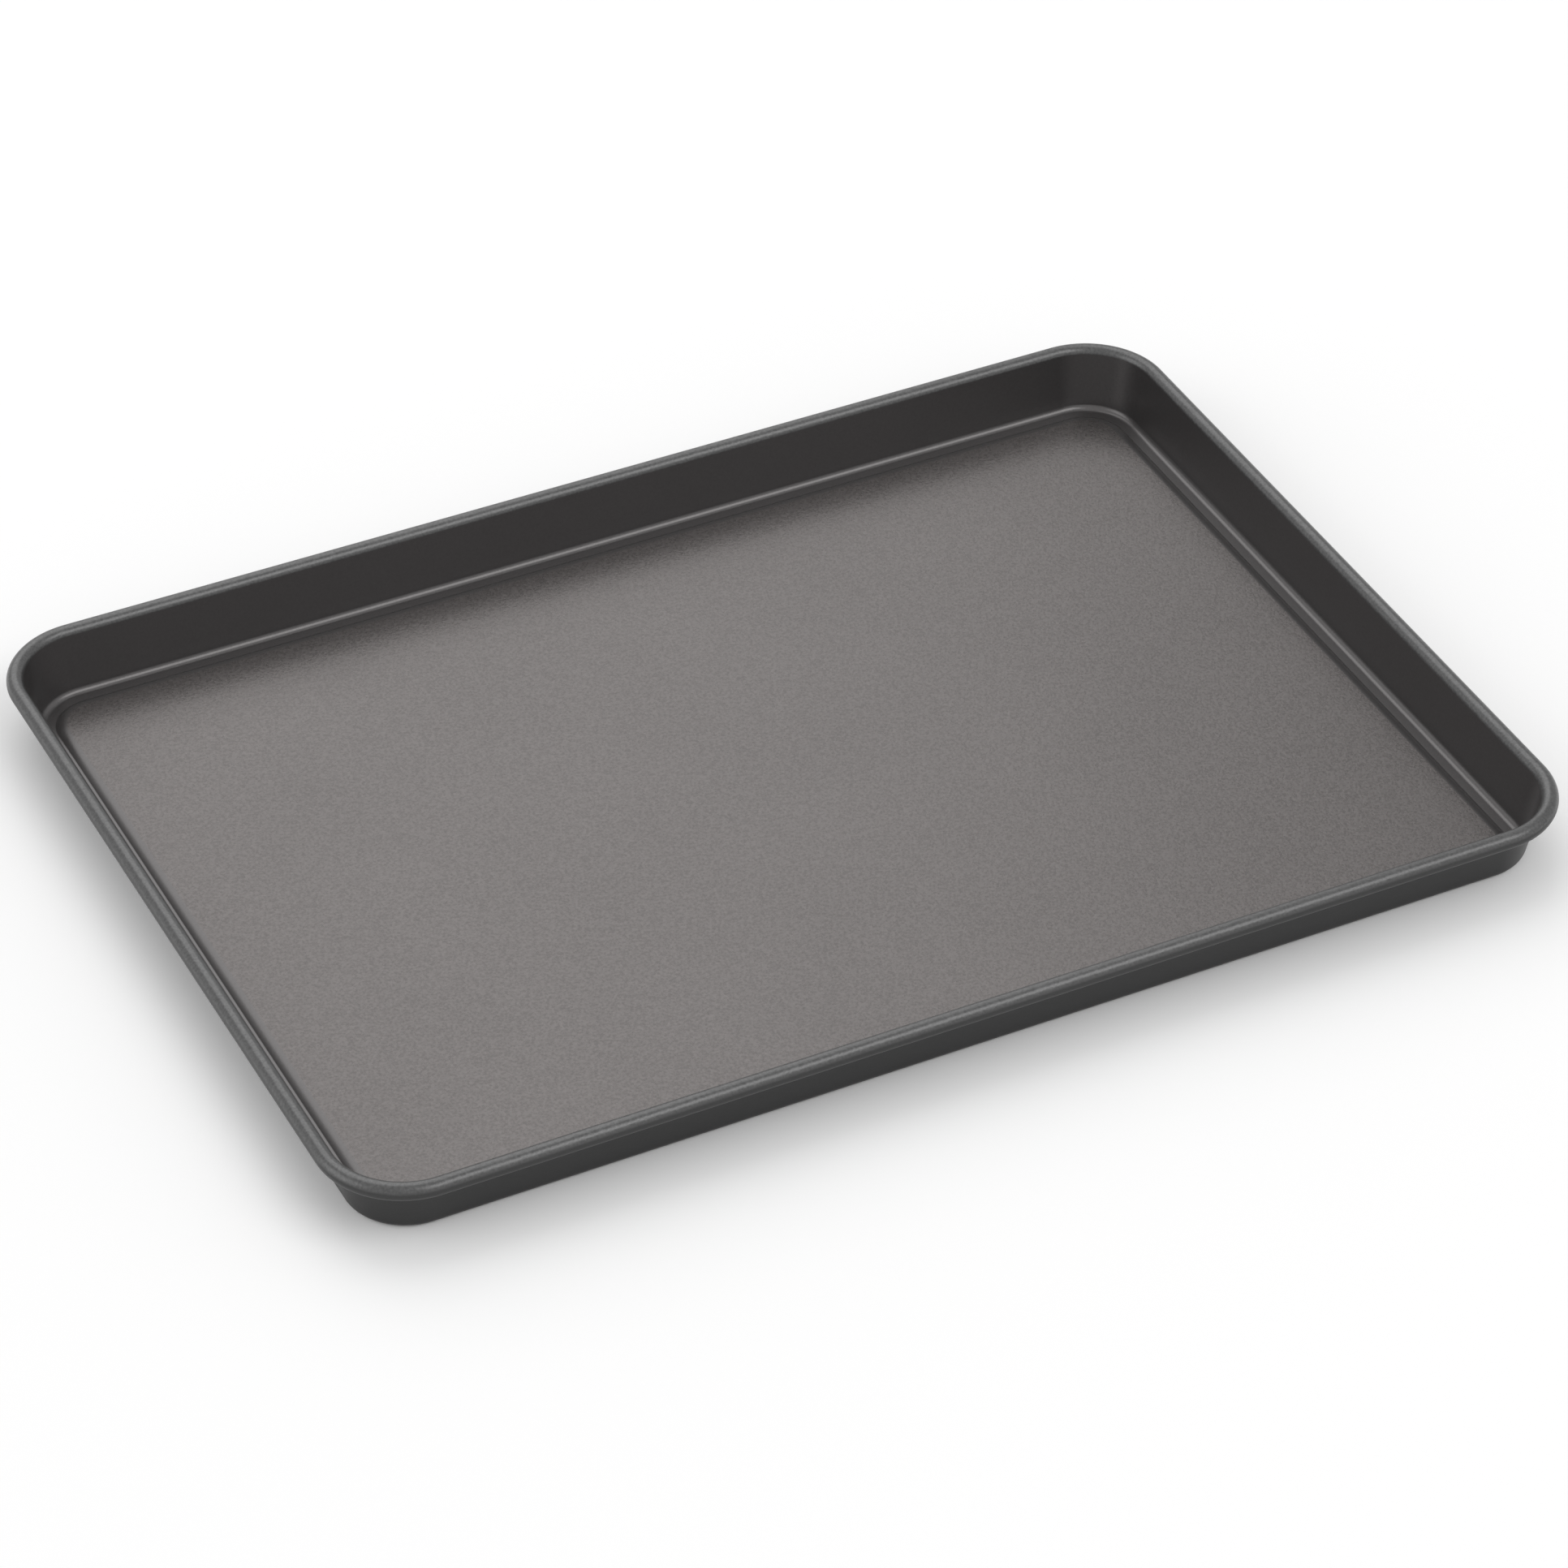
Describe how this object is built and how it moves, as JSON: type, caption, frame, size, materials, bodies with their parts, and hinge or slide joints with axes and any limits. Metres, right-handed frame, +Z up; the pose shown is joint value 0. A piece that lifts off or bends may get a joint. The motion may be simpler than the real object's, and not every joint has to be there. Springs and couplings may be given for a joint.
{
  "type": "cookie sheet",
  "caption": "Rectangular pressed-steel baking tray with low sloping walls, round corners, a raised flat base panel, a wire-rolled round rim and a dark satin non-stick finish.",
  "frame": {"origin": "on the floor under the middle of the tray", "axes": "+X along the long side, +Y along the short side, +Z up out of the tray"},
  "size_m": [0.457, 0.33, 0.025],
  "materials": {
    "nonstick_coating": "satin",
    "wire_steel": "satin"
  },
  "bodies": {
    "root": {"pan_body": "nonstick_coating", "rim_wire": "wire_steel"}
  },
  "joints": []
}
